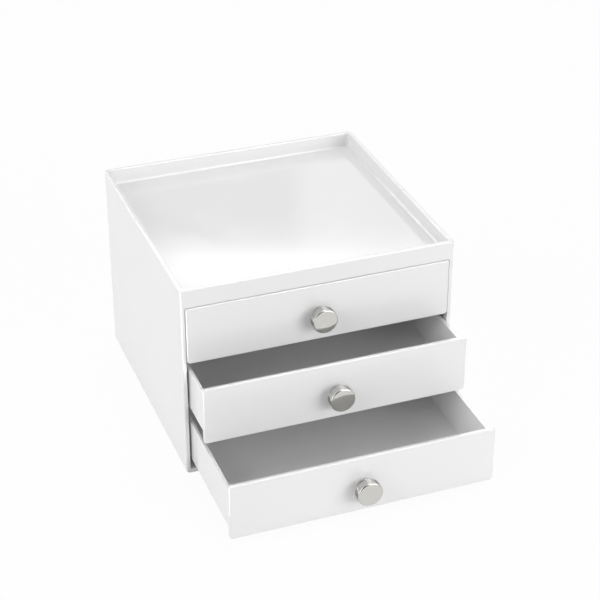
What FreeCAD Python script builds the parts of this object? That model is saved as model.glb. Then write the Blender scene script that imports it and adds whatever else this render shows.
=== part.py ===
import FreeCAD, Part
import math
import os

Vector = FreeCAD.Vector

# Desktop organiser: a one-piece moulded case with a raised tray top, and three drawers that slide on
# ledges inside it. Each drawer is one moulding with a round knob screwed on from inside.
# Millimetres. X is the width, Y runs from the front (low) to the back (high), Z is up.
# The origin is the centre of the flat underside of the case.

# Case moulding
case_width = 165.0
case_depth = 160.5
side_wall = 2.5
back_wall = 2.5
floor_thickness = 3.0
ceiling_thickness = 1.8     # between the drawers and the tray
shell_radius = 2.5          # back uprights and the three lower edges
edge_radius = 0.9           # front edges and the top of the rim
mouth_radius = 0.4          # inner edge of the front opening
hollow_radius = 1.5         # long corners inside the case

# Tray top
rim_height = 9.9            # rim above the tray floor
rim_width = 2.5
tray_corner_radius = 2.0
tray_floor_radius = 1.5     # where the rim meets the tray floor
rim_inner_radius = 0.8

# Drawers
drawer_names = ("bottom", "middle", "top")
pulled_out = {"bottom": 70.3, "middle": 28.0, "top": 0.0}
front_height = 35.7
front_gap = 0.3             # above, below and between the drawer fronts
front_side_gap = 0.3
front_proud = 0.5           # drawer fronts ahead of the case
front_thickness = 2.2
front_top_corner = 1.2
front_bottom_corner = 2.0
front_edge_radius = 0.6
front_back_radius = 0.3
front_skirt = 5.0           # front below the underside of the drawer box
box_inset = 0.9             # box side behind the end of the front
box_rim_drop = 4.0          # box rim below the top of the front
box_wall = 2.0
box_floor = 1.8
box_corner_radius = 2.0
box_bottom_radius = 1.2
box_rim_radius = 0.45
pocket_corner_radius = 1.2
pocket_floor_radius = 0.8
back_stop_gap = 0.4         # shut drawer to the back wall

# Ledges that carry the drawers
ledge_width = 6.0
ledge_thickness = 2.0
ledge_setback = 8.0         # behind the front of the case
ledge_lead_in = 2.0
running_gap = 0.2           # ledge to drawer box

# Knobs and their fixings
knob_radius = 7.5
knob_height = 8.6
knob_side = 4.4             # side of the head, behind its rounded front edge
knob_side_draft = 0.2       # narrowing of the side towards its back
knob_neck_radius = 4.8
knob_cove = 0.5             # depth of the hollow curve from the side to the neck
knob_foot_radius = 5.2
knob_foot = 0.8
knob_edge_radius = 0.8
knob_back_edge_radius = 0.3
knob_crown = 0.15           # rise of the face at its centre
knob_below_middle = 2.0     # knob axis below the middle of the front
insert_radius = 2.8
insert_length = 6.0
insert_groove_width = 1.2
insert_groove_depth = 0.4
insert_gap = 0.02
insert_bore_end = 0.3       # free space past the insert
screw_radius = 2.0
screw_length = 8.0
screw_head_radius = 4.0
screw_head_height = 2.6
screw_head_edge = 0.9
screw_tip = 0.5
thread_gap = 0.03
recess_arm = 2.2
recess_width = 0.9
recess_depth = 1.4
washer_radius = 4.5
washer_thickness = 0.8
washer_hole_radius = 2.15
front_hole_radius = 2.25

# Sizes that follow
front_y = -case_depth / 2
back_y = case_depth / 2
inner_half_width = case_width / 2 - side_wall
inner_back_y = back_y - back_wall
front_pitch = front_height + front_gap
mouth_height = len(drawer_names) * front_pitch + front_gap
mouth_top = floor_thickness + mouth_height
tray_floor_z = mouth_top + ceiling_thickness
case_height = tray_floor_z + rim_height
front_half_width = inner_half_width - front_side_gap
box_half_width = front_half_width - box_inset
plate_y = front_y - front_proud
front_back_y = plate_y + front_thickness
box_back_y = inner_back_y - back_stop_gap
knob_bore_depth = insert_length + insert_bore_end

tolerance = 1e-4


def box(x0, x1, y0, y1, z0, z1):
    """A block between two corners."""
    return Part.makeBox(x1 - x0, y1 - y0, z1 - z0, Vector(x0, y0, z0))


def edges_where(shape, test):
    """The edges whose bounding box passes the test."""
    return [edge for edge in shape.Edges if test(edge.BoundBox)]


def rounded(shape, radius, test):
    """Rounds the edges whose bounding box passes the test."""
    return shape.makeFillet(radius, edges_where(shape, test))


def is_upright(b):
    """Whether an edge's box is a vertical line."""
    return b.XLength < tolerance and b.YLength < tolerance


def runs_in_depth(b):
    """Whether an edge's box is a line along Y."""
    return b.XLength < tolerance and b.ZLength < tolerance


def cylinder_from_front(radius, y0, y1, x, z):
    """A cylinder along Y, from the front end y0 to the back end y1."""
    return Part.makeCylinder(radius, y1 - y0, Vector(x, y0, z), Vector(0, 1, 0))


def turned(outline):
    """A solid turned about the Y axis from edges drawn in the XY plane."""
    face = Part.Face(Part.Wire(outline))
    return face.revolve(Vector(0, 0, 0), Vector(0, 1, 0), 360)


def polyline(points):
    """Straight edges from each point to the next."""
    return [Part.makeLine(a, b) for a, b in zip(points, points[1:])]


# ---------------------------------------------------------------- case


def case_block():
    """The outer form of the case: soft back and lower edges, tighter front and top edges."""
    block = box(-case_width / 2, case_width / 2, front_y, back_y, 0, case_height)

    def soft(b):
        back_upright = is_upright(b) and b.YMin > back_y - tolerance
        low = b.ZMax < tolerance
        at_front = b.YMax < front_y + tolerance
        return back_upright or (low and not at_front)

    def tight(b):
        return b.ZMin > case_height - tolerance or b.YMax < front_y + tolerance

    return rounded(rounded(block, shell_radius, soft), edge_radius, tight)


def case_hollow():
    """The space for the drawers, open at the front."""
    half = inner_half_width
    hollow = box(-half, half, front_y - side_wall, inner_back_y, floor_thickness, mouth_top)
    return rounded(hollow, hollow_radius, runs_in_depth)


def tray_recess():
    """The shallow recess on top, rounded at its corners and along its floor."""
    half = case_width / 2 - rim_width
    recess = box(-half, half, front_y + rim_width, back_y - rim_width,
                 tray_floor_z, case_height + rim_height)
    recess = rounded(recess, tray_corner_radius, is_upright)
    return rounded(recess, tray_floor_radius, lambda b: b.ZMax < tray_floor_z + tolerance)


def ledge(side, top_z):
    """A ledge along one side wall, with a slanted lead-in at its front end."""
    start_y = front_y + ledge_setback
    wall_x = inner_half_width + side_wall / 2
    edge_x = inner_half_width - ledge_width
    points = [
        Vector(side * wall_x, start_y, top_z),
        Vector(side * (edge_x + ledge_lead_in), start_y, top_z),
        Vector(side * edge_x, start_y + ledge_lead_in, top_z),
        Vector(side * edge_x, inner_back_y + back_wall / 2, top_z),
        Vector(side * wall_x, inner_back_y + back_wall / 2, top_z),
    ]
    face = Part.Face(Part.Wire(polyline(points + points[:1])))
    return face.extrude(Vector(0, 0, -ledge_thickness))


def case_shell():
    """The whole case moulding."""
    shell = case_block().cut(case_hollow()).cut(tray_recess())
    half = inner_half_width

    def mouth_edge(b):
        inside = b.XMin > -half - tolerance and b.XMax < half + tolerance
        return inside and b.YMax < front_y + tolerance and b.ZMax < mouth_top + tolerance

    def recess_edge(b):
        limit = case_width / 2 - rim_width + tolerance
        return b.ZMin > case_height - tolerance and b.XMin > -limit and b.XMax < limit \
            and b.YMin > front_y + rim_width - tolerance

    shell = rounded(shell, mouth_radius, mouth_edge)
    shell = rounded(shell, rim_inner_radius, recess_edge)
    for index in range(len(drawer_names)):
        top_z = box_base_z(index) - running_gap
        for side in (-1, 1):
            shell = shell.fuse(ledge(side, top_z))
    return shell.removeSplitter()


# ---------------------------------------------------------------- drawers


def front_base_z(index):
    """Lower edge of a drawer front, counted from the bottom drawer."""
    return floor_thickness + front_gap + index * front_pitch


def box_base_z(index):
    """Underside of a drawer box."""
    return front_base_z(index) + front_skirt


def box_rim_z(index):
    """Rim of a drawer box."""
    return front_base_z(index) + front_height - box_rim_drop


def knob_z(index):
    """Height of a knob's axis."""
    return front_base_z(index) + front_height / 2 - knob_below_middle


def drawer_front(index):
    """The front plate of a drawer, with rounded corners and soft edges."""
    low = front_base_z(index)
    high = low + front_height
    plate = box(-front_half_width, front_half_width, plate_y, front_back_y, low, high)
    middle = (low + high) / 2
    plate = rounded(plate, front_top_corner, lambda b: runs_across_plate(b) and b.ZMin > middle)
    plate = rounded(plate, front_bottom_corner, lambda b: runs_across_plate(b) and b.ZMax < middle)
    plate = rounded(plate, front_edge_radius, lambda b: b.YMax < plate_y + tolerance)
    return rounded(plate, front_back_radius, lambda b: b.YMin > front_back_y - tolerance)


def runs_across_plate(b):
    """Whether an edge is a line through the thickness of the front."""
    return runs_in_depth(b) and b.YLength > front_thickness - tolerance


def drawer_box_block(index):
    """The outer form of the drawer box, whose front end is inside the front plate."""
    low = box_base_z(index)
    high = box_rim_z(index)
    start_y = front_back_y - front_thickness / 2
    block = box(-box_half_width, box_half_width, start_y, box_back_y, low, high)

    def at_start(b):
        return b.YMax < start_y + tolerance

    block = rounded(block, box_corner_radius, lambda b: is_upright(b) and not at_start(b))
    block = rounded(block, box_bottom_radius, lambda b: b.ZMax < low + tolerance and not at_start(b))
    return rounded(block, box_rim_radius, lambda b: b.ZMin > high - tolerance and not at_start(b))


def drawer_pocket(index):
    """The inside of a drawer."""
    low = box_base_z(index) + box_floor
    high = box_rim_z(index) + box_wall
    half = box_half_width - box_wall
    pocket = box(-half, half, front_back_y, box_back_y - box_wall, low, high)
    pocket = rounded(pocket, pocket_corner_radius, is_upright)
    return rounded(pocket, pocket_floor_radius, lambda b: b.ZMax < low + tolerance)


def drawer_box(index):
    """The hollow drawer box, with its rim rounded inside as well."""
    half = box_half_width - box_wall

    def pocket_rim(b):
        inside = b.XMin > -half - tolerance and b.XMax < half + tolerance
        return inside and b.ZMin > box_rim_z(index) - tolerance and b.YMin > front_back_y - tolerance \
            and b.YMax < box_back_y - box_wall + tolerance

    return rounded(drawer_box_block(index).cut(drawer_pocket(index)), box_rim_radius, pocket_rim)


def drawer(index):
    """One drawer moulding: front plate and box, with the hole for the knob's screw."""
    hole = cylinder_from_front(front_hole_radius, plate_y - 1, front_back_y + 1, 0, knob_z(index))
    return drawer_front(index).fuse(drawer_box(index)).cut(hole).removeSplitter()


# ---------------------------------------------------------------- knobs and fixings


def knob():
    """A turned knob on the Y axis: its foot is at y = 0 and its face points to -Y."""
    face_y = -knob_height
    edge_y = face_y + knob_edge_radius
    side_back_y = edge_y + knob_side
    foot_y = -knob_foot
    crown_edge = knob_radius - knob_edge_radius
    corner_share = math.sqrt(0.5)
    crown_peak = Vector(0, face_y - knob_crown, 0)
    crown = Part.Arc(crown_peak, Vector(crown_edge / 2, face_y - knob_crown * 3 / 4, 0),
                     Vector(crown_edge, face_y, 0)).toShape()
    edge_middle = Vector(crown_edge + knob_edge_radius * corner_share,
                         face_y + knob_edge_radius * (1 - corner_share), 0)
    edge = Part.Arc(Vector(crown_edge, face_y, 0), edge_middle, Vector(knob_radius, edge_y, 0)).toShape()
    cove_start = Vector(knob_radius - knob_side_draft, side_back_y, 0)
    cove_end = Vector(knob_neck_radius, foot_y, 0)
    across = (cove_end - cove_start).normalize()
    cove_middle = (cove_start + cove_end) * 0.5 + Vector(-across.y, across.x, 0) * knob_cove
    cove = Part.Arc(cove_start, cove_middle, cove_end).toShape()
    side = polyline([Vector(knob_radius, edge_y, 0), cove_start])
    foot = polyline([cove_end, Vector(knob_foot_radius, foot_y, 0), Vector(knob_foot_radius, 0, 0),
                     Vector(0, 0, 0), crown_peak])
    solid = turned([crown, edge] + side + [cove] + foot)
    solid = rounded(solid, knob_back_edge_radius,
                    lambda b: abs(b.YMin - side_back_y) < tolerance and abs(b.YMax - side_back_y) < tolerance)
    bore = cylinder_from_front(insert_radius + insert_gap, -knob_bore_depth, 1, 0, 0)
    return solid.cut(bore)


def threaded_insert():
    """A brass sleeve for the screw, with a holding groove round its middle."""
    sleeve = cylinder_from_front(insert_radius, -insert_length, 0, 0, 0)
    bore = cylinder_from_front(screw_radius, -insert_length - 1, 1, 0, 0)
    groove_y = -(insert_length + insert_groove_width) / 2
    ring = cylinder_from_front(insert_radius + 1, groove_y, groove_y + insert_groove_width, 0, 0)
    core = cylinder_from_front(insert_radius - insert_groove_depth, groove_y,
                               groove_y + insert_groove_width, 0, 0)
    return sleeve.cut(bore).cut(ring.cut(core))


def washer():
    """A flat washer against the inner face of the drawer front."""
    start = front_thickness
    disc = cylinder_from_front(washer_radius, start, start + washer_thickness, 0, 0)
    return disc.cut(cylinder_from_front(washer_hole_radius, start - 1, start + washer_thickness + 1, 0, 0))


def screw():
    """A pan-head screw with a cross recess, through washer and front into the insert."""
    seat_y = front_thickness + washer_thickness
    head_y = seat_y + screw_head_height
    shank_radius = screw_radius - thread_gap
    shank = cylinder_from_front(shank_radius, seat_y - screw_length, seat_y + screw_head_edge, 0, 0)
    shank = shank.makeChamfer(screw_tip, edges_where(shank, lambda b: b.YMax < seat_y - screw_length + tolerance))
    head = cylinder_from_front(screw_head_radius, seat_y, head_y, 0, 0)
    head = rounded(head, screw_head_edge, lambda b: b.YMin > head_y - tolerance)
    slot_low = head_y - recess_depth
    slot_high = head_y + 1
    half = recess_width / 2
    recess = box(-recess_arm, recess_arm, slot_low, slot_high, -half, half)
    recess = recess.fuse(box(-half, half, slot_low, slot_high, -recess_arm, recess_arm))
    return shank.fuse(head).cut(recess).removeSplitter()


# ---------------------------------------------------------------- all pieces


def all_pieces():
    """Every piece by name, at its place: shut drawers moved out by their own distance."""
    pieces = {"case_shell": case_shell()}
    for index, name in enumerate(drawer_names):
        out = Vector(0, -pulled_out[name], 0)
        pieces["drawer_" + name] = drawer(index).translated(out)
        seat = Vector(0, plate_y, knob_z(index)) + out
        pieces["knob_" + name] = knob().translated(seat)
        pieces["knob_insert_" + name] = threaded_insert().translated(seat)
        pieces["knob_washer_" + name] = washer().translated(seat)
        pieces["knob_screw_" + name] = screw().translated(seat)
    return pieces


os.makedirs("parts", exist_ok=True)
for node, shape in all_pieces().items():
    shape.exportStep("parts/" + node + ".step")
    print(node, "valid" if shape.isValid() else "NOT VALID", len(shape.Solids), round(shape.Volume, 1))
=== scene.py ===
"""Desktop organiser with three drawers: finishes, turned knobs and fixings, studio light and camera."""

import logging
import math
from dataclasses import dataclass, field
from enum import Enum
from functools import partial

import bmesh
import bpy
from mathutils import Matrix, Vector


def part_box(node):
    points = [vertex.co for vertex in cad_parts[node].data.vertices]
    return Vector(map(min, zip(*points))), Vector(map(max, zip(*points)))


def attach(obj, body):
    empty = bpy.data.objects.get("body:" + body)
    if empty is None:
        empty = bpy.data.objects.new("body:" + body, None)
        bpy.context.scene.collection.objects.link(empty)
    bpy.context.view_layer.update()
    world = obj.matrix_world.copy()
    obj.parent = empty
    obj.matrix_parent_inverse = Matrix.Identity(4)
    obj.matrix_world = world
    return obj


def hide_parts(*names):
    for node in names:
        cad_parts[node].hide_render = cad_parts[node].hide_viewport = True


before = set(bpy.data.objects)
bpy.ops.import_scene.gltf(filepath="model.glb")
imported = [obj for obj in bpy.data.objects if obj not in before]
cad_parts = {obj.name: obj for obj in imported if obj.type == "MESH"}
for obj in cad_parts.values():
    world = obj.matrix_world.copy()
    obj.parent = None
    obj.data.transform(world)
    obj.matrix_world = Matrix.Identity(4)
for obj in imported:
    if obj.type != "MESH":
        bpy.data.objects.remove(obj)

log = logging.getLogger("organiser")

MILLIMETRE = 0.001
DRAWERS = ("bottom", "middle", "top")

Place = tuple[float, float, float]


# ---------------------------------------------------------------- helpers


def mm(value: float) -> float:
    """Millimetres in Blender's metres."""
    return value * MILLIMETRE


def linear(hex_colour: str) -> tuple[float, float, float, float]:
    """Turns an sRGB colour into the linear one that shaders use.

    Args:
        hex_colour: Six hexadecimal digits after a hash.

    Returns:
        Linear red, green and blue, and an alpha of 1.
    """
    channels = [int(hex_colour[i : i + 2], 16) / 255 for i in (1, 3, 5)]
    return (*(c / 12.92 if c <= 0.04045 else ((c + 0.055) / 1.055) ** 2.4 for c in channels), 1.0)


def add_node(
    tree: bpy.types.NodeTree,
    kind: str,
    settings: dict | None = None,
    values: dict | None = None,
    links: dict | None = None,
) -> bpy.types.Node:
    """Adds a node with its settings, its own values and what feeds it.

    Args:
        tree: The tree that gets the node.
        kind: Type name of the node.
        settings: The node's attributes by name.
        values: Values of its inputs, by name or number.
        links: Sockets that feed its inputs, by name or number.

    Returns:
        The new node.
    """
    node = tree.nodes.new(kind)
    for name, value in (settings or {}).items():
        setattr(node, name, value)
    for key, value in (values or {}).items():
        node.inputs[key].default_value = value
    for key, source in (links or {}).items():
        tree.links.new(source, node.inputs[key])
    return node


def calculate(
    tree: bpy.types.NodeTree,
    operation: str,
    first: bpy.types.NodeSocket | float,
    second: bpy.types.NodeSocket | float | None = None,
) -> bpy.types.NodeSocket:
    """Adds one sum on sockets or plain numbers.

    Args:
        tree: The tree that gets the sum.
        operation: Blender's name of the sum.
        first: What it starts from.
        second: The other side, if the sum has one.

    Returns:
        The result's socket.
    """
    given = {0: first, 1: second}
    return add_node(
        tree,
        "ShaderNodeMath",
        settings={"operation": operation},
        values={key: value for key, value in given.items() if isinstance(value, (int, float))},
        links={key: value for key, value in given.items() if isinstance(value, bpy.types.NodeSocket)},
    ).outputs[0]


def new_material(name: str) -> tuple[bpy.types.Material, bpy.types.NodeTree]:
    """Makes a material with an empty node tree.

    Args:
        name: The material's name.

    Returns:
        The material and its tree.
    """
    material = bpy.data.materials.new(name)
    material.use_nodes = True
    material.node_tree.nodes.clear()
    return material, material.node_tree


def noise(
    tree: bpy.types.NodeTree,
    place: bpy.types.NodeSocket,
    width: float,
    detail: float,
    roughness: float = 0.5,
    distortion: float = 0.0,
) -> bpy.types.NodeSocket:
    """Adds a noise pattern.

    Args:
        tree: The material's tree.
        place: Coordinates that the pattern is fixed to.
        width: Width of one patch, in millimetres.
        detail: How many finer layers it has.
        roughness: How strong the finer layers are.
        distortion: How far the patches are drawn out.

    Returns:
        The pattern's socket, from 0 to 1.
    """
    return add_node(
        tree,
        "ShaderNodeTexNoise",
        values={
            "Scale": 1 / mm(width),
            "Detail": detail,
            "Roughness": roughness,
            "Distortion": distortion,
        },
        links={"Vector": place},
    ).outputs["Fac"]


def blend(
    tree: bpy.types.NodeTree, share: bpy.types.NodeSocket, first: str, second: str
) -> bpy.types.NodeSocket:
    """Blends two colours.

    Args:
        tree: The material's tree.
        share: Share of the second colour.
        first: The first sRGB colour.
        second: The second sRGB colour.

    Returns:
        The blended colour's socket.
    """
    return add_node(
        tree,
        "ShaderNodeMix",
        settings={"data_type": "RGBA"},
        values={6: linear(first), 7: linear(second)},
        links={0: share},
    ).outputs[2]


# ---------------------------------------------------------------- finishes


@dataclass(frozen=True)
class GlossMoulding:
    """Injection-moulded ABS from a polished mould.

    It gives an opaque neutral white with a wet-looking gloss. The gloss is not quite flat: the walls are
    drawn in a little as they cool, and the skin has a fine orange peel.
    """

    name: str
    colour: str = "#F3F3F3"
    flow_colour: str = "#F0F0F0"
    flow_width: float = 60.0
    ior: float = 1.54
    polished: float = 0.06
    rubbed: float = 0.13
    rubbed_width: float = 18.0
    rubbed_from: float = 0.35
    rubbed_to: float = 0.75
    sink_width: float = 34.0
    sink_depth: float = 0.03
    peel_width: float = 1.6
    peel_depth: float = 0.0012

    def build(self) -> bpy.types.Material:
        """Builds the material.

        Returns:
            The finished material.
        """
        material, tree = new_material(self.name)
        place = add_node(tree, "ShaderNodeTexCoord").outputs["Object"]
        # Slow bands of slightly different white, left by the melt as it filled the mould
        flow = noise(tree, place, self.flow_width, detail=2.0, roughness=0.4, distortion=0.6)
        # Handling leaves the polish a little duller in patches
        handled = noise(tree, place, self.rubbed_width, detail=4.0, roughness=0.6)
        roughness = add_node(
            tree,
            "ShaderNodeMapRange",
            values={
                "From Min": self.rubbed_from,
                "From Max": self.rubbed_to,
                "To Min": self.polished,
                "To Max": self.rubbed,
            },
            links={"Value": handled},
        )
        sunk = add_node(
            tree,
            "ShaderNodeBump",
            values={"Strength": 1.0, "Distance": mm(self.sink_depth)},
            links={"Height": noise(tree, place, self.sink_width, detail=0.0)},
        )
        skin = add_node(
            tree,
            "ShaderNodeBump",
            values={"Strength": 1.0, "Distance": mm(self.peel_depth)},
            links={
                "Height": noise(tree, place, self.peel_width, detail=1.0),
                "Normal": sunk.outputs["Normal"],
            },
        )
        shader = add_node(
            tree,
            "ShaderNodeBsdfPrincipled",
            values={"IOR": self.ior},
            links={
                "Base Color": blend(tree, flow, self.colour, self.flow_colour),
                "Roughness": roughness.outputs["Result"],
                "Normal": skin.outputs["Normal"],
            },
        )
        add_node(tree, "ShaderNodeOutputMaterial", links={"Surface": shader.outputs["BSDF"]})
        return material


@dataclass(frozen=True)
class Metal:
    """A bare or plated metal: its colour, how smooth it is and the marks of how it was made."""

    name: str
    colour: str
    worn_colour: str
    smooth: float
    rough: float
    grain: float
    grain_depth: float
    smooth_up_to: float = 0.3
    rough_from: float = 0.7

    def build(self) -> bpy.types.Material:
        """Builds the material.

        Returns:
            The finished material.
        """
        material, tree = new_material(self.name)
        place = add_node(tree, "ShaderNodeTexCoord").outputs["Object"]
        grain = noise(tree, place, self.grain, detail=3.0, roughness=0.55)
        roughness = add_node(
            tree,
            "ShaderNodeMapRange",
            values={
                "From Min": self.smooth_up_to,
                "From Max": self.rough_from,
                "To Min": self.smooth,
                "To Max": self.rough,
            },
            links={"Value": grain},
        )
        relief = add_node(
            tree,
            "ShaderNodeBump",
            values={"Strength": 1.0, "Distance": mm(self.grain_depth)},
            links={"Height": grain},
        )
        shader = add_node(
            tree,
            "ShaderNodeBsdfPrincipled",
            values={"Metallic": 1.0},
            links={
                "Base Color": blend(tree, grain, self.colour, self.worn_colour),
                "Roughness": roughness.outputs["Result"],
                "Normal": relief.outputs["Normal"],
            },
        )
        add_node(tree, "ShaderNodeOutputMaterial", links={"Surface": shader.outputs["BSDF"]})
        return material


@dataclass(frozen=True)
class ChromePlate:
    """Chrome plate over die-cast zinc.

    The sides and the rounded edge keep a mirror polish, which gives them hard bright and dark lines, and a
    darker grey than the face: partly chrome colour, partly painted shade for the shaded drawer front that
    they mirror. The face is buffed a little softer and shows a warm grey. Towards a grazing view the plate
    is tinted
    darker: a painted dark line round the knob's outline.
    """

    name: str = "chrome plate on zinc, buffed face and polished sides"
    face_colour: str = "#D3D2CE"
    face_stain: str = "#C8C7C2"
    # A darker grey on the polished sides and edge: partly chrome colour, partly painted shade for the shaded
    # front they mirror
    side_chrome_and_painted_shade: str = "#C9C8C6"
    # Darker than the plate, so a grazing view darkens: a painted dark line round the knob's outline
    painted_grazing_shade: str = "#A8A8A8"
    face_roughness: float = 0.13
    side_roughness: float = 0.07
    grain: float = 0.55
    grain_depth: float = 0.006
    edge_facing: float = -0.93
    face_facing: float = -0.99

    def build(self) -> bpy.types.Material:
        """Builds the material.

        Returns:
            The finished material.
        """
        material, tree = new_material(self.name)
        place = add_node(tree, "ShaderNodeTexCoord").outputs["Object"]
        normal = add_node(tree, "ShaderNodeNewGeometry").outputs["Normal"]
        facing = add_node(tree, "ShaderNodeSeparateXYZ", links={0: normal}).outputs["Y"]
        # 1 on the face, which looks along -Y, falling to 0 where the rounded edge turns away
        face = add_node(
            tree,
            "ShaderNodeMapRange",
            settings={"interpolation_type": "SMOOTHSTEP"},
            values={"From Min": self.edge_facing, "From Max": self.face_facing},
            links={"Value": facing},
        ).outputs["Result"]
        grain = noise(tree, place, self.grain, detail=3.0, roughness=0.6)
        buffed = blend(tree, grain, self.face_colour, self.face_stain)
        # The sides and edge take the darker grey, painted shade for the front they mirror; the face takes
        # the buffed grey
        colour = add_node(
            tree,
            "ShaderNodeMix",
            settings={"data_type": "RGBA"},
            values={6: linear(self.side_chrome_and_painted_shade)},
            links={0: face, 7: buffed},
        ).outputs[2]
        roughness = add_node(
            tree,
            "ShaderNodeMapRange",
            values={"To Min": self.side_roughness, "To Max": self.face_roughness},
            links={"Value": face},
        ).outputs["Result"]
        relief = add_node(
            tree,
            "ShaderNodeBump",
            values={"Distance": mm(self.grain_depth)},
            links={"Height": grain, "Strength": face},
        ).outputs["Normal"]
        # The darker tint at grazing angles paints a dark line round the knob's outline, where shade would be
        # mirrored
        shader = add_node(
            tree,
            "ShaderNodeBsdfPrincipled",
            values={"Metallic": 1.0, "Specular Tint": linear(self.painted_grazing_shade)},
            links={"Base Color": colour, "Roughness": roughness, "Normal": relief},
        )
        add_node(tree, "ShaderNodeOutputMaterial", links={"Surface": shader.outputs["BSDF"]})
        return material


# Turned brass: warm yellow, satin from the cutting tool
BRASS = Metal(
    "turned brass",
    colour="#D9B56A",
    worn_colour="#C79B4B",
    smooth=0.22,
    rough=0.34,
    grain=0.5,
    grain_depth=0.004,
)
# Zinc-plated steel: a cool grey with the dull spangle of the plating bath
ZINC_STEEL = Metal(
    "zinc-plated steel",
    colour="#B9BFC4",
    worn_colour="#9EA6AD",
    smooth=0.26,
    rough=0.42,
    grain=0.9,
    grain_depth=0.006,
)


# ---------------------------------------------------------------- turned forms


class Cut(Enum):
    """What is cut into the round surface of a turned form."""

    PLAIN = "plain"
    KNURLED = "knurled"
    THREADED = "threaded"


@dataclass(frozen=True)
class Corner:
    """One corner of a turned outline: its radius, place along the axis and rounding, in millimetres."""

    name: str
    radius: float
    place: float
    rounding: float = 0.0


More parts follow.
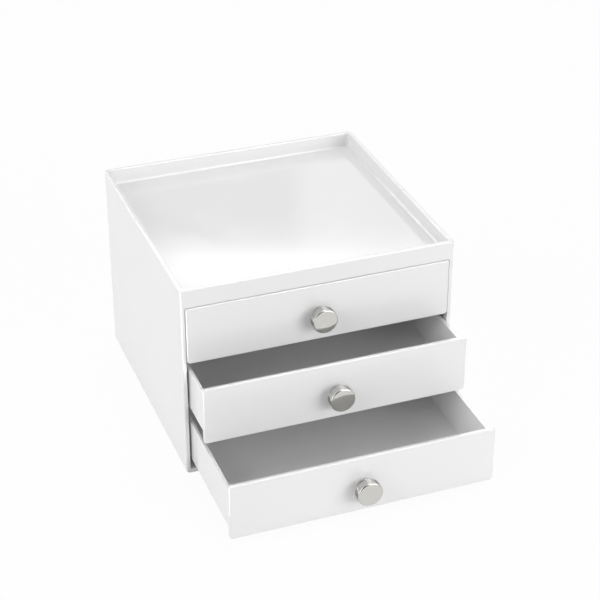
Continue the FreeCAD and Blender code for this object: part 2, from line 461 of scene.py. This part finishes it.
@dataclass
class TurnedForm:
    """A solid of revolution about Y, made by a node tree from the corners of its outline.

    Its sizes are in millimetres, except for the pitch of a knurl, which is the number of its ridges. The
    outline of a thread has cut_steps points to one pitch, and an edge sharper than crisp_from degrees stays
    crisp in the shading.
    """

    name: str
    corners: list[Corner]
    closed: bool = False
    segments: int = 96
    rounding_steps: int = 8
    cut: Cut = Cut.PLAIN
    cut_depth: float = 0.0
    cut_pitch: float = 0.0
    cut_radius: float = 0.0
    cut_from: float = 0.0
    cut_to: float = 0.0
    cut_margin: float = 0.02
    cut_steps: float = 8.0
    recess_depth: float = 0.0
    recess_width: float = 0.0
    recess_blade: float = 0.0
    recess_taper: float = 1.0
    crisp_from: float = 32.0
    weld: float = 0.001

    def sizes(self) -> dict[str, float]:
        """Lists what the node tree is given.

        Returns:
            Each size under the name of its input, lengths in metres.
        """
        sizes = {}
        for corner in self.corners:
            sizes[f"{corner.name} radius"] = mm(corner.radius)
            sizes[f"{corner.name} place"] = mm(corner.place)
            sizes[f"{corner.name} rounding"] = mm(corner.rounding)
        if self.cut is not Cut.PLAIN:
            sizes["Cut depth"] = mm(self.cut_depth)
            sizes["Cut pitch"] = self.cut_pitch if self.cut is Cut.KNURLED else mm(self.cut_pitch)
            sizes["Cut radius"] = mm(self.cut_radius)
            sizes["Cut from"] = mm(self.cut_from)
            sizes["Cut to"] = mm(self.cut_to)
        if self.recess_depth:
            sizes["Recess depth"] = mm(self.recess_depth)
            sizes["Recess width"] = mm(self.recess_width)
            sizes["Recess blade"] = mm(self.recess_blade)
            sizes["Recess taper"] = self.recess_taper
        return sizes

    def tree(self) -> bpy.types.NodeTree:
        """Builds the node tree, with a named input for each size.

        Returns:
            The node tree.
        """
        tree = bpy.data.node_groups.new(self.name, "GeometryNodeTree")
        tree.interface.new_socket("Geometry", in_out="OUTPUT", socket_type="NodeSocketGeometry")
        for name in self.sizes():
            tree.interface.new_socket(name, in_out="INPUT", socket_type="NodeSocketFloat")
        tree.interface.new_socket("Segments", in_out="INPUT", socket_type="NodeSocketInt")
        tree.interface.new_socket("Rounding steps", in_out="INPUT", socket_type="NodeSocketInt")
        tree.interface.new_socket("Material", in_out="INPUT", socket_type="NodeSocketMaterial")
        size = add_node(tree, "NodeGroupInput").outputs
        outline = self._outline(tree, size)
        solid = self._revolve(tree, size, outline)
        if self.recess_depth:
            solid = self._recess(tree, size, solid)
        angle = add_node(tree, "GeometryNodeInputMeshEdgeAngle").outputs["Unsigned Angle"]
        crisp = add_node(
            tree,
            "FunctionNodeCompare",
            settings={"data_type": "FLOAT", "operation": "LESS_THAN"},
            values={1: math.radians(self.crisp_from)},
            links={0: angle},
        )
        faces = add_node(
            tree,
            "GeometryNodeSetShadeSmooth",
            settings={"domain": "FACE"},
            values={"Shade Smooth": True},
            links={"Geometry": solid},
        )
        edges = add_node(
            tree,
            "GeometryNodeSetShadeSmooth",
            settings={"domain": "EDGE"},
            links={"Geometry": faces.outputs["Geometry"], "Shade Smooth": crisp.outputs["Result"]},
        )
        real = add_node(
            tree, "GeometryNodeRealizeInstances", links={"Geometry": edges.outputs["Geometry"]}
        )
        dressed = add_node(
            tree,
            "GeometryNodeSetMaterial",
            links={"Geometry": real.outputs["Geometry"], "Material": size["Material"]},
        )
        add_node(tree, "NodeGroupOutput", links={0: dressed.outputs["Geometry"]})
        return tree

    def _outline(
        self, tree: bpy.types.NodeTree, size: bpy.types.bpy_prop_collection
    ) -> bpy.types.NodeSocket:
        """Draws the outline as a curve whose X is the radius and whose Y is the place along the axis.

        Args:
            tree: The node tree.
            size: Sockets of the tree's inputs.

        Returns:
            The curve's socket.
        """
        index = add_node(tree, "GeometryNodeInputIndex").outputs[0]
        points = add_node(
            tree, "GeometryNodeIndexSwitch", settings={"data_type": "VECTOR"}, links={"Index": index}
        )
        roundings = add_node(
            tree, "GeometryNodeIndexSwitch", settings={"data_type": "FLOAT"}, links={"Index": index}
        )
        for _ in self.corners[2:]:
            points.index_switch_items.new()
            roundings.index_switch_items.new()
        for number, corner in enumerate(self.corners):
            point = add_node(
                tree,
                "ShaderNodeCombineXYZ",
                links={"X": size[f"{corner.name} radius"], "Y": size[f"{corner.name} place"]},
            )
            tree.links.new(point.outputs[0], points.inputs[number + 1])
            tree.links.new(size[f"{corner.name} rounding"], roundings.inputs[number + 1])
        line = add_node(tree, "GeometryNodeMeshLine", values={"Count": len(self.corners)})
        placed = add_node(
            tree,
            "GeometryNodeSetPosition",
            links={"Geometry": line.outputs["Mesh"], "Position": points.outputs[0]},
        )
        curve = add_node(
            tree, "GeometryNodeMeshToCurve", links={"Mesh": placed.outputs["Geometry"]}
        ).outputs["Curve"]
        if self.closed:
            curve = add_node(
                tree, "GeometryNodeSetSplineCyclic", values={"Cyclic": True}, links={"Geometry": curve}
            ).outputs["Geometry"]
        rounded = add_node(
            tree,
            "GeometryNodeFilletCurve",
            settings={"mode": "POLY"},
            values={"Limit Radius": True},
            links={"Curve": curve, "Count": size["Rounding steps"], "Radius": roundings.outputs[0]},
        ).outputs["Curve"]
        if self.cut is not Cut.THREADED:
            return rounded
        return add_node(
            tree,
            "GeometryNodeResampleCurve",
            settings={"mode": "LENGTH"},
            links={"Curve": rounded, "Length": calculate(tree, "DIVIDE", size["Cut pitch"], self.cut_steps)},
        ).outputs["Curve"]

    def _revolve(
        self,
        tree: bpy.types.NodeTree,
        size: bpy.types.bpy_prop_collection,
        outline: bpy.types.NodeSocket,
    ) -> bpy.types.NodeSocket:
        """Turns the outline about Y as a grid whose seam and poles are then merged.

        Args:
            tree: The node tree.
            size: Sockets of the tree's inputs.
            outline: The outline's curve.

        Returns:
            The socket of the closed mesh.
        """
        math_node = partial(calculate, tree)
        count = add_node(
            tree,
            "GeometryNodeAttributeDomainSize",
            settings={"component": "CURVE"},
            links={"Geometry": outline},
        ).outputs["Point Count"]
        rows = math_node("ADD", count, 1.0) if self.closed else count
        columns = math_node("ADD", size["Segments"], 1.0)
        grid = add_node(
            tree, "GeometryNodeMeshGrid", links={"Vertices X": rows, "Vertices Y": columns}
        )
        index = add_node(tree, "GeometryNodeInputIndex").outputs[0]
        row = math_node("FLOOR", math_node("DIVIDE", math_node("ADD", index, 0.5), columns))
        column = math_node("SUBTRACT", index, math_node("MULTIPLY", row, columns))
        position = add_node(tree, "GeometryNodeInputPosition").outputs[0]
        sample = add_node(
            tree,
            "GeometryNodeSampleIndex",
            settings={"data_type": "FLOAT_VECTOR", "domain": "POINT"},
            links={
                "Geometry": outline,
                "Value": position,
                "Index": math_node("MODULO", row, count) if self.closed else row,
            },
        ).outputs[0]
        split = add_node(tree, "ShaderNodeSeparateXYZ", links={0: sample}).outputs
        turn = math_node("DIVIDE", column, size["Segments"])
        radius = split["X"]
        if self.cut is not Cut.PLAIN:
            # A triangular ridge, counted round the form for a knurl and along the helix for a thread
            if self.cut is Cut.KNURLED:
                phase = math_node("MULTIPLY", turn, size["Cut pitch"])
            else:
                phase = math_node("ADD", math_node("DIVIDE", split["Y"], size["Cut pitch"]), turn)
            wave = math_node("MULTIPLY", math_node("PINGPONG", phase, 0.5), 2.0)
            margin = mm(self.cut_margin)
            outer = math_node("GREATER_THAN", radius, math_node("SUBTRACT", size["Cut radius"], margin))
            inner = math_node("LESS_THAN", radius, math_node("ADD", size["Cut radius"], margin))
            after = math_node("GREATER_THAN", split["Y"], size["Cut from"])
            before = math_node("LESS_THAN", split["Y"], size["Cut to"])
            bite = math_node("MULTIPLY", wave, size["Cut depth"])
            for limit in (outer, inner, after, before):
                bite = math_node("MULTIPLY", bite, limit)
            radius = math_node("SUBTRACT", radius, bite)
        angle = math_node("MULTIPLY", turn, math.tau)
        point = add_node(
            tree,
            "ShaderNodeCombineXYZ",
            links={
                "X": math_node("MULTIPLY", radius, math_node("COSINE", angle)),
                "Y": split["Y"],
                "Z": math_node("MULTIPLY", radius, math_node("SINE", angle)),
            },
        )
        turned = add_node(
            tree,
            "GeometryNodeSetPosition",
            links={"Geometry": grid.outputs["Mesh"], "Position": point.outputs[0]},
        )
        return add_node(
            tree,
            "GeometryNodeMergeByDistance",
            values={"Distance": mm(self.weld)},
            links={"Geometry": turned.outputs["Geometry"]},
        ).outputs["Geometry"]

    def _recess(
        self,
        tree: bpy.types.NodeTree,
        size: bpy.types.bpy_prop_collection,
        solid: bpy.types.NodeSocket,
    ) -> bpy.types.NodeSocket:
        """Cuts a tapered cross recess into the end with the highest Y.

        Args:
            tree: The node tree.
            size: Sockets of the tree's inputs.
            solid: The mesh that is cut.

        Returns:
            The socket of the cut mesh.
        """
        math_node = partial(calculate, tree)
        top = max(self.corners, key=lambda corner: corner.place)
        # A flat blade centred on the top, so that its lower half cuts and its upper half is in the air
        blade_size = add_node(
            tree,
            "ShaderNodeCombineXYZ",
            links={
                "X": size["Recess width"],
                "Y": math_node("MULTIPLY", size["Recess depth"], 2.0),
                "Z": size["Recess blade"],
            },
        )
        blade = add_node(
            tree,
            "GeometryNodeMeshCube",
            values={"Vertices X": 3, "Vertices Y": 2, "Vertices Z": 2},
            links={"Size": blade_size.outputs[0]},
        ).outputs["Mesh"]
        place = add_node(tree, "GeometryNodeInputPosition").outputs[0]
        height = add_node(tree, "ShaderNodeSeparateXYZ", links={0: place}).outputs["Y"]
        taper = add_node(
            tree,
            "ShaderNodeMapRange",
            values={"From Max": 0.0, "To Max": 1.0},
            links={
                "Value": height,
                "From Min": math_node("MULTIPLY", size["Recess depth"], -1.0),
                "To Min": size["Recess taper"],
            },
        ).outputs["Result"]
        narrow = add_node(
            tree, "ShaderNodeCombineXYZ", values={"Y": 1.0}, links={"X": taper, "Z": taper}
        )
        shaped = add_node(
            tree,
            "ShaderNodeVectorMath",
            settings={"operation": "MULTIPLY"},
            links={0: place, 1: narrow.outputs[0]},
        )
        tapered = add_node(
            tree, "GeometryNodeSetPosition", links={"Geometry": blade, "Position": shaped.outputs[0]}
        ).outputs["Geometry"]
        crossed = add_node(
            tree,
            "GeometryNodeTransform",
            values={"Rotation": (0.0, math.pi / 2, 0.0)},
            links={"Geometry": tapered},
        ).outputs["Geometry"]
        cutter = add_node(
            tree,
            "GeometryNodeMeshBoolean",
            settings={"operation": "DIFFERENCE"},
            links={"Mesh 1": solid},
        )
        lift = add_node(tree, "ShaderNodeCombineXYZ", links={"Y": size[f"{top.name} place"]})
        for blade_across in (tapered, crossed):
            tool = add_node(
                tree,
                "GeometryNodeTransform",
                links={"Geometry": blade_across, "Translation": lift.outputs[0]},
            )
            tree.links.new(tool.outputs["Geometry"], cutter.inputs["Mesh 2"])
        return cutter.outputs["Mesh"]

    def mesh(self, material: bpy.types.Material) -> bpy.types.Mesh:
        """Runs the node tree once and keeps its result as a plain mesh.

        Args:
            material: The finish of every face.

        Returns:
            The finished mesh, on the axis at the origin.
        """
        tree = self.tree()
        blank = bpy.data.objects.new(self.name, bpy.data.meshes.new(self.name))
        bpy.context.scene.collection.objects.link(blank)
        modifier = blank.modifiers.new("turned", "NODES")
        modifier.node_group = tree
        given: dict[str, object] = dict(self.sizes())
        given["Segments"] = self.segments
        given["Rounding steps"] = self.rounding_steps
        given["Material"] = material
        for item in tree.interface.items_tree:
            if item.in_out == "INPUT":
                modifier[item.identifier] = given[item.name]
        evaluated = blank.evaluated_get(bpy.context.evaluated_depsgraph_get())
        made = bpy.data.meshes.new_from_object(evaluated)
        bpy.data.objects.remove(blank)
        work = bmesh.new()
        work.from_mesh(made)
        bmesh.ops.recalc_face_normals(work, faces=work.faces)
        work.to_mesh(made)
        work.free()
        return made


def placed(name: str, mesh: bpy.types.Mesh, where: Vector) -> bpy.types.Object:
    """Puts a copy of a mesh at its place, with the object itself at the origin.

    Args:
        name: Name of the new piece.
        mesh: The shared mesh.
        where: The place, in metres.

    Returns:
        The new object.
    """
    copy = mesh.copy()
    copy.name = name
    for vertex in copy.vertices:
        vertex.co += where
    piece = bpy.data.objects.new(name, copy)
    bpy.context.scene.collection.objects.link(piece)
    return piece


# ---------------------------------------------------------------- the organiser


@dataclass
class Case:
    """The case: one moulding with a raised rim round its flat top, and the ledges for the drawers inside."""

    node: str = "case_shell"
    plastic: GlossMoulding = field(default_factory=lambda: GlossMoulding("gloss white ABS, case"))

    def dress(self) -> None:
        """Gives the case its finish."""
        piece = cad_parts[self.node]
        piece.data.materials.clear()
        piece.data.materials.append(self.plastic.build())
        log.info("%s: %s", self.node, self.plastic.name)


@dataclass
class KnobSet:
    """A drawer's knob with the brass insert, screw and washer that hold it, all on one axis."""

    radius: float = 7.5
    height: float = 8.6
    side: float = 4.4
    side_draft: float = 0.2
    edge: float = 0.8
    back_edge: float = 0.3
    crown: float = 0.15
    crown_half_way: float = 0.75
    cove_spread: float = 0.75
    cove_shift: float = 0.25
    cove_rounding: float = 1.2
    neck_radius: float = 4.8
    neck_rounding: float = 0.15
    foot_radius: float = 5.2
    foot: float = 0.8
    foot_rounding: float = 0.1
    bore_radius: float = 2.82
    bore_depth: float = 6.3
    insert_radius: float = 2.8
    insert_length: float = 6.0
    insert_edge: float = 0.2
    groove_width: float = 1.2
    groove_depth: float = 0.4
    knurl_ridges: float = 30.0
    knurl_depth: float = 0.12
    screw_radius: float = 1.97
    screw_bore: float = 2.0
    screw_length: float = 8.0
    tip_chamfer: float = 0.5
    thread_pitch: float = 0.7
    thread_depth: float = 0.3
    thread_end: float = 0.3
    head_radius: float = 4.0
    head_height: float = 2.6
    head_seat_edge: float = 0.15
    head_side: float = 1.7
    head_side_rounding: float = 0.9
    dome_share: float = 0.62
    dome_drop: float = 0.12
    dome_rounding: float = 0.8
    recess_depth: float = 1.4
    recess_width: float = 4.4
    recess_blade: float = 0.9
    recess_taper: float = 0.55
    front_thickness: float = 2.2
    washer_radius: float = 4.5
    washer_hole: float = 2.15
    washer_thickness: float = 0.8
    washer_edge: float = 0.06
    washer_rolled_edge: float = 0.18

    def knob(self) -> TurnedForm:
        """Draws the knob: face towards -Y, foot at y = 0.

        Returns:
            The knob's form.
        """
        face = -self.height
        side_back = face + self.edge + self.side
        cove_place = (side_back - self.foot) / 2
        return TurnedForm(
            "turned knob",
            [
                Corner("Face centre", 0.0, face - self.crown),
                Corner(
                    "Face middle",
                    (self.radius - self.edge) / 2,
                    face - self.crown * self.crown_half_way,
                ),
                Corner("Face edge", self.radius, face, self.edge),
                Corner("Side back", self.radius - self.side_draft, side_back, self.back_edge),
                Corner(
                    "Cove",
                    self.neck_radius + self.cove_spread,
                    cove_place - self.cove_shift,
                    self.cove_rounding,
                ),
                Corner("Neck", self.neck_radius, -self.foot, self.neck_rounding),
                Corner("Foot top", self.foot_radius, -self.foot, self.neck_rounding),
                Corner("Foot", self.foot_radius, 0.0, self.foot_rounding),
                Corner("Bore mouth", self.bore_radius, 0.0),
                Corner("Bore end", self.bore_radius, -self.bore_depth),
                Corner("Bore centre", 0.0, -self.bore_depth),
            ],
            segments=128,
        )

    def insert(self) -> TurnedForm:
        """Draws the knurled brass insert in the knob.

        Returns:
            The insert's form.
        """
        low = -(self.insert_length + self.groove_width) / 2
        high = low + self.groove_width
        core = self.insert_radius - self.groove_depth
        return TurnedForm(
            "knurled insert",
            [
                Corner("Bore front", self.screw_bore, -self.insert_length),
                Corner("Front", self.insert_radius, -self.insert_length, self.insert_edge),
                Corner("Front knurl end", self.insert_radius, low),
                Corner("Groove front", core, low),
                Corner("Groove back", core, high),
                Corner("Back knurl start", self.insert_radius, high),
                Corner("Back", self.insert_radius, 0.0, self.insert_edge),
                Corner("Bore back", self.screw_bore, 0.0),
            ],
            closed=True,
            segments=120,
            rounding_steps=3,
            cut=Cut.KNURLED,
            cut_depth=self.knurl_depth,
            cut_pitch=self.knurl_ridges,
            cut_radius=self.insert_radius,
            cut_from=-self.insert_length,
            cut_to=0.0,
        )

    def screw(self) -> TurnedForm:
        """Draws the M4 pan-head screw: head inside the drawer, thread towards the knob.

        Returns:
            The screw's form.
        """
        seat = self.front_thickness + self.washer_thickness
        tip = seat - self.screw_length
        top = seat + self.head_height
        return TurnedForm(
            "pan-head screw",
            [
                Corner("Tip centre", 0.0, tip),
                Corner("Tip", self.screw_radius - self.tip_chamfer, tip),
                Corner("Thread start", self.screw_radius, tip + self.tip_chamfer),
                Corner("Shank end", self.screw_radius, seat),
                Corner("Seat", self.head_radius, seat, self.head_seat_edge),
                Corner("Head rim", self.head_radius, seat + self.head_side, self.head_side_rounding),
                Corner("Dome", self.head_radius * self.dome_share, top - self.dome_drop, self.dome_rounding),
                Corner("Head centre", 0.0, top),
            ],
            segments=48,
            rounding_steps=6,
            cut=Cut.THREADED,
            cut_depth=self.thread_depth,
            cut_pitch=self.thread_pitch,
            cut_radius=self.screw_radius,
            cut_from=tip + self.tip_chamfer,
            cut_to=seat - self.thread_end,
            recess_depth=self.recess_depth,
            recess_width=self.recess_width,
            recess_blade=self.recess_blade,
            recess_taper=self.recess_taper,
        )

    def washer(self) -> TurnedForm:
        """Draws the flat washer between the screw's head and the drawer front.

        Returns:
            The washer's form.
        """
        near = self.front_thickness
        far = near + self.washer_thickness
        return TurnedForm(
            "flat washer",
            [
                Corner("Hole front", self.washer_hole, near, self.washer_edge),
                Corner("Rim front", self.washer_radius, near, self.washer_edge),
                Corner("Rim back", self.washer_radius, far, self.washer_rolled_edge),
                Corner("Hole back", self.washer_hole, far, self.washer_edge),
            ],
            closed=True,
            segments=72,
            rounding_steps=4,
        )


@dataclass
class DrawerSet:
    """The three drawers with their knobs and fixings."""

    knobs: KnobSet = field(default_factory=KnobSet)
    plastic: GlossMoulding = field(default_factory=lambda: GlossMoulding("gloss white ABS, drawers"))

    def dress(self) -> None:
        """Gives the drawers their finish and builds what is screwed to them."""
        plastic = self.plastic.build()
        steel = ZINC_STEEL.build()
        finishes = {
            "knob": (self.knobs.knob(), ChromePlate().build(), "chrome_knob"),
            "knob_insert": (self.knobs.insert(), BRASS.build(), "brass_insert"),
            "knob_screw": (self.knobs.screw(), steel, "zinc_steel"),
            "knob_washer": (self.knobs.washer(), steel, "zinc_steel"),
        }
        meshes = {part: form.mesh(material) for part, (form, material, _) in finishes.items()}
        for drawer in DRAWERS:
            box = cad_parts[f"drawer_{drawer}"]
            box.data.materials.clear()
            box.data.materials.append(plastic)
            low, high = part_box(f"knob_{drawer}")
            axis = Vector(((low.x + high.x) / 2, high.y, (low.z + high.z) / 2))
            for part, (form, _, slot) in finishes.items():
                node = f"{part}_{drawer}"
                piece = placed(f"{node}_finished", meshes[part], axis)
                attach(piece, f"sliding_drawer_{drawer}")
                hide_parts(node)
                log.info("%s: %s, %d faces", node, form.name, len(piece.data.polygons))


# ---------------------------------------------------------------- studio


@dataclass
class SoftBox:
    """A soft box lamp: its place, the point it faces, its sides and its brightness, where 1 is white."""

    name: str
    place: Place
    target: Place
    width: float
    height: float
    brightness: float
    only_shine_on: bpy.types.Collection | None = None

    def build(self) -> None:
        """Adds the lamp to the scene."""
        data = bpy.data.lights.new(self.name, "AREA")
        data.shape = "RECTANGLE"
        data.size = self.width
        data.size_y = self.height
        # The watts at which a rectangle of this size has this brightness
        data.energy = self.brightness * math.pi * self.width * self.height
        lamp = bpy.data.objects.new(self.name, data)
        lamp.location = self.place
        aim = Vector(self.target) - Vector(self.place)
        lamp.rotation_euler = aim.to_track_quat("-Z", "Y").to_euler()
        lamp.visible_camera = False
        if self.only_shine_on:
            # A reflector for the gloss on these pieces, which adds nothing to the general light
            lamp.visible_diffuse = False
            lamp.light_linking.receiver_collection = self.only_shine_on
        bpy.context.scene.collection.objects.link(lamp)
        log.info("%s: %.1f W", self.name, data.energy)


@dataclass
class Studio:
    """A white table top in even soft light, and the camera."""

    floor_size: float = 8.0
    floor_colour: str = "#F6F6F6"
    white_share: float = 0.95
    ambient: float = 0.32
    lens: float = 102.1199
    sensor: float = 36.0
    camera_place: Place = (-0.301192, -0.854738, 0.591014)
    camera_heading: float = -20.4595
    camera_pitch: float = -30.5483
    clip_start: float = 0.01
    clip_end: float = 50.0
    case_middle: Place = (0.0, 0.0, 0.06)
    tray_front: Place = (0.0, -0.045, 0.1165)
    flag_direction: Place = (-0.45, -0.70, 0.52)
    flag_distance: float = 1.3
    flag_size: tuple[float, float] = (1.6, 1.4)
    flag_colour: str = "#141414"

    def build(self) -> None:
        """Adds floor, world, lamps and camera."""
        self._floor()
        self._world()
        self._lamps()
        self._flag()
        self._camera()

    def _seen_directly(self, tree: bpy.types.NodeTree) -> bpy.types.NodeSocket:
        """Adds a factor that is 1 for camera, glossy and transmission rays.

        Args:
            tree: The shader tree.

        Returns:
            The factor's socket.
        """
        rays = add_node(tree, "ShaderNodeLightPath").outputs
        factor = rays["Is Camera Ray"]
        for kind in ("Is Glossy Ray", "Is Transmission Ray"):
            factor = calculate(tree, "MAXIMUM", factor, rays[kind])
        return factor

    def _floor(self) -> None:
        """Adds the floor: white paper that keeps a trace of the object's shadow."""
        mesh = bpy.data.meshes.new("table top")
        half = self.floor_size / 2
        mesh.from_pydata(
            [(-half, -half, 0), (half, -half, 0), (half, half, 0), (-half, half, 0)], [], [(0, 1, 2, 3)]
        )
        floor = bpy.data.objects.new("table_top", mesh)
        bpy.context.scene.collection.objects.link(floor)
        # A dull white that takes a soft shadow; seen directly or in a mirror, most of it is plain white
        material, tree = new_material("matt white paper")
        paper = add_node(
            tree, "ShaderNodeBsdfDiffuse", values={"Color": linear(self.floor_colour), "Roughness": 0.4}
        )
        white = add_node(tree, "ShaderNodeEmission", values={"Color": (1, 1, 1, 1), "Strength": 1.0})
        share = calculate(tree, "MULTIPLY", self._seen_directly(tree), self.white_share)
        mixed = add_node(
            tree,
            "ShaderNodeMixShader",
            links={0: share, 1: paper.outputs[0], 2: white.outputs[0]},
        )
        add_node(tree, "ShaderNodeOutputMaterial", links={"Surface": mixed.outputs[0]})
        mesh.materials.append(material)

    def _world(self) -> None:
        """Adds the surroundings: white to look at, and an even soft light."""
        world = bpy.data.worlds.new("white studio")
        bpy.context.scene.world = world
        world.use_nodes = True
        tree = world.node_tree
        tree.nodes.clear()
        strength = add_node(
            tree,
            "ShaderNodeMapRange",
            values={"To Min": self.ambient, "To Max": 1.0},
            links={"Value": self._seen_directly(tree)},
        )
        white = add_node(
            tree,
            "ShaderNodeBackground",
            values={"Color": (1, 1, 1, 1)},
            links={"Strength": strength.outputs["Result"]},
        )
        add_node(tree, "ShaderNodeOutputWorld", links={"Surface": white.outputs[0]})

    def _lamps(self) -> None:
        """Adds the soft boxes: four that light everything and four that only shine on the gloss."""
        glossy = bpy.data.collections.new("gloss white mouldings")
        for node in ("case_shell", *(f"drawer_{name}" for name in DRAWERS)):
            glossy.objects.link(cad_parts[node])
        lamps = (
            SoftBox(
                "left soft box",
                place=(-1.395, -0.3, 0.72),
                target=self.case_middle,
                width=1.6,
                height=1.3,
                brightness=1.85,
            ),
            SoftBox(
                "front soft box",
                place=(0.8, -1.2, 0.42),
                target=self.case_middle,
                width=1.0,
                height=0.7,
                brightness=4.2,
            ),
            SoftBox(
                "overhead soft box",
                place=(0.15, 0.1, 1.5),
                target=self.case_middle,
                width=0.6,
                height=0.6,
                brightness=3.2,
            ),
            SoftBox(
                "back soft box",
                place=(0.6, 1.43, 1.32),
                target=self.tray_front,
                width=1.3,
                height=0.583,
                brightness=3.4,
            ),
            # The thin white lines along the upper edges of the front
            SoftBox(
                "edge light",
                place=(0.4, -1.1, 0.95),
                target=self.case_middle,
                width=0.5,
                height=1.2,
                brightness=8.0,
                only_shine_on=glossy,
            ),
            # The white lines on the left-hand edges of the drawer fronts, from a panel on the table top
            SoftBox(
                "low edge light",
                place=(-0.19, -0.29, 0.003),
                target=(-0.19, -0.29, 1.0),
                width=0.2,
                height=0.24,
                brightness=14.0,
                only_shine_on=glossy,
            ),
            # The white line along the left-hand rim
            SoftBox(
                "left rim light",
                place=(-0.753, 1.036, 0.346),
                target=(-0.08, 0.0, 0.12),
                width=0.32,
                height=0.4,
                brightness=6.0,
                only_shine_on=glossy,
            ),
            # A little more light in the tray's reflection
            SoftBox(
                "tray light",
                place=(0.89, 1.482, 0.905),
                target=self.tray_front,
                width=0.6,
                height=0.35,
                brightness=0.65,
                only_shine_on=glossy,
            ),
        )
        for lamp in lamps:
            lamp.build()

    def _flag(self) -> None:
        """Adds a black flag that only mirrors see: it puts the dark line on the knobs' polished edges."""
        direction = Vector(self.flag_direction).normalized()
        side = direction.cross(Vector((0, 0, 1))).normalized()
        rise = side.cross(direction)
        half_width, half_height = (size / 2 for size in self.flag_size)
        centre = direction * self.flag_distance
        corners = [
            centre + side * half_width * across + rise * half_height * up
            for across, up in ((-1, -1), (1, -1), (1, 1), (-1, 1))
        ]
        mesh = bpy.data.meshes.new("black flag")
        mesh.from_pydata(corners, [], [(0, 1, 2, 3)])
        flag = bpy.data.objects.new("black_flag", mesh)
        bpy.context.scene.collection.objects.link(flag)
        flag.visible_camera = False
        flag.visible_diffuse = False
        flag.visible_transmission = False
        flag.visible_shadow = False
        # A deep black with no gloss
        material, tree = new_material("black velvet")
        velvet = add_node(tree, "ShaderNodeBsdfDiffuse", values={"Color": linear(self.flag_colour)})
        add_node(tree, "ShaderNodeOutputMaterial", links={"Surface": velvet.outputs[0]})
        mesh.materials.append(material)

    def _camera(self) -> None:
        """Adds the camera."""
        data = bpy.data.cameras.new("studio camera")
        data.sensor_width = self.sensor
        data.lens = self.lens
        data.clip_start = self.clip_start
        data.clip_end = self.clip_end
        camera = bpy.data.objects.new("studio_camera", data)
        camera.location = self.camera_place
        camera.rotation_euler = (
            math.radians(90.0 + self.camera_pitch),
            0.0,
            math.radians(self.camera_heading),
        )
        bpy.context.scene.collection.objects.link(camera)
        bpy.context.scene.camera = camera
        bpy.context.scene.view_settings.view_transform = "Standard"


def main() -> None:
    """Builds the organiser's looks and the studio round it."""
    logging.basicConfig(level=logging.INFO, format="%(name)s: %(message)s")
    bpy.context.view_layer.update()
    Case().dress()
    DrawerSet().dress()
    Studio().build()


if __name__ == "__main__":
    main()
